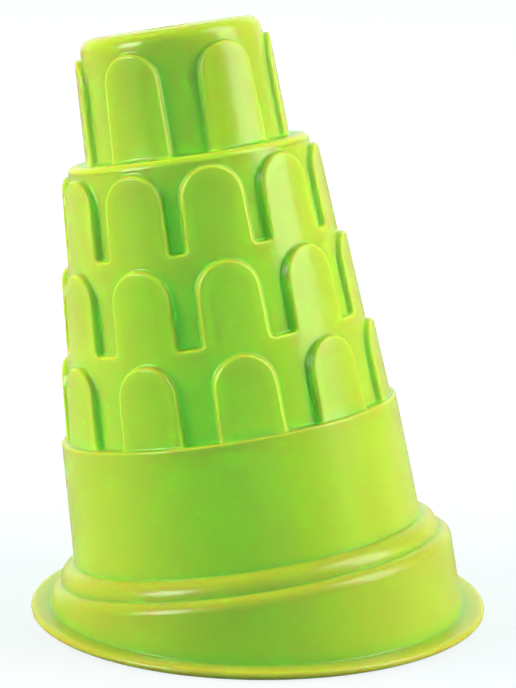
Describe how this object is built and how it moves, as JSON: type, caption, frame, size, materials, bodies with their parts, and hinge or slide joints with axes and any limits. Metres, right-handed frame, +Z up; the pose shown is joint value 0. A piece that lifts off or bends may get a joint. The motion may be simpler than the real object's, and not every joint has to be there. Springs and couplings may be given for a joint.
{
  "type": "sand mould",
  "caption": "Hollow leaning tower with stepped rows of blind arches on a flared base with a flat rim, open underneath, for turning tower shapes out of damp sand.",
  "frame": {"origin": "centre of the rim's underside, on the surface that the mould stands on", "axes": "+Z up; the tower leans towards -X; the mould is a mirror image of itself across the plane Y = 0"},
  "size_m": [0.1405, 0.1404, 0.1822],
  "materials": {
    "lime_plastic": "glossy injection-moulded polypropylene, slightly translucent lime green"
  },
  "bodies": {
    "root": {"rim_flange": "lime_plastic", "base_skirt": "lime_plastic", "base_step": "lime_plastic", "drum_wall": "lime_plastic", "lower_arcade": "lime_plastic", "middle_arcade": "lime_plastic", "upper_arcade": "lime_plastic", "belfry_wall": "lime_plastic", "roof_cap": "lime_plastic"}
  },
  "joints": []
}
